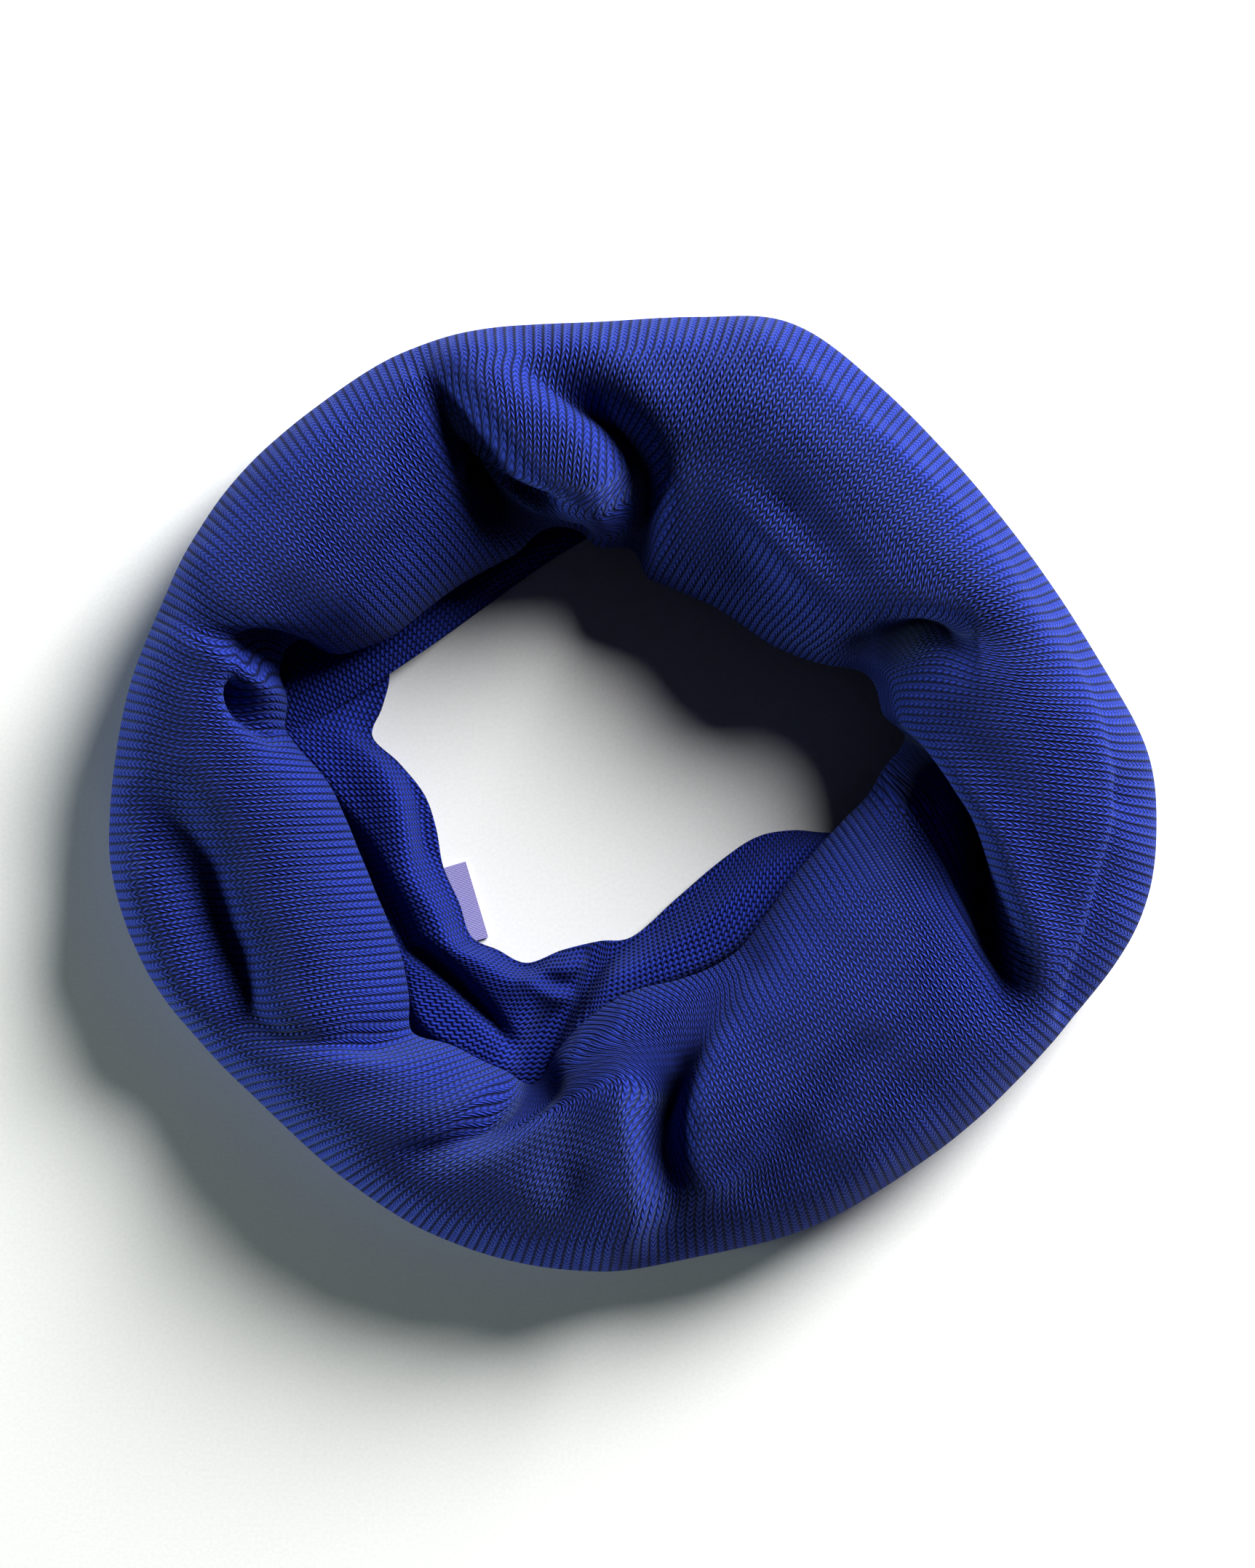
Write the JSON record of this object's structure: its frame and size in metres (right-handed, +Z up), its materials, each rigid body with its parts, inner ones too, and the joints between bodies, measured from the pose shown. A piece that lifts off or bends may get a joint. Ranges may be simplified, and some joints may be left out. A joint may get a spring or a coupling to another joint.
{
  "type": "infinity scarf",
  "caption": "Blue knitted infinity scarf, a seamless tube of fine wool dropped on a table as a ring round its neck hole.",
  "frame": {"origin": "middle of the footprint, on the table", "axes": "+Z up from the table, +X along the ring's longer width, to the right as seen from above with the label at the lower left"},
  "size_m": [0.2153, 0.1965, 0.0401],
  "materials": {
    "knit_face": "fine wool knit, right side",
    "knit_reverse": "fine wool knit, wrong side",
    "knit_inside": "gathered knit out of sight",
    "label_tape": "woven satin tape, blank"
  },
  "bodies": {
    "root": {"outer_roll": "knit_face", "hidden_folds": "knit_inside", "left_strip": "knit_reverse", "top_strip": "knit_reverse", "label": "label_tape"}
  },
  "joints": []
}
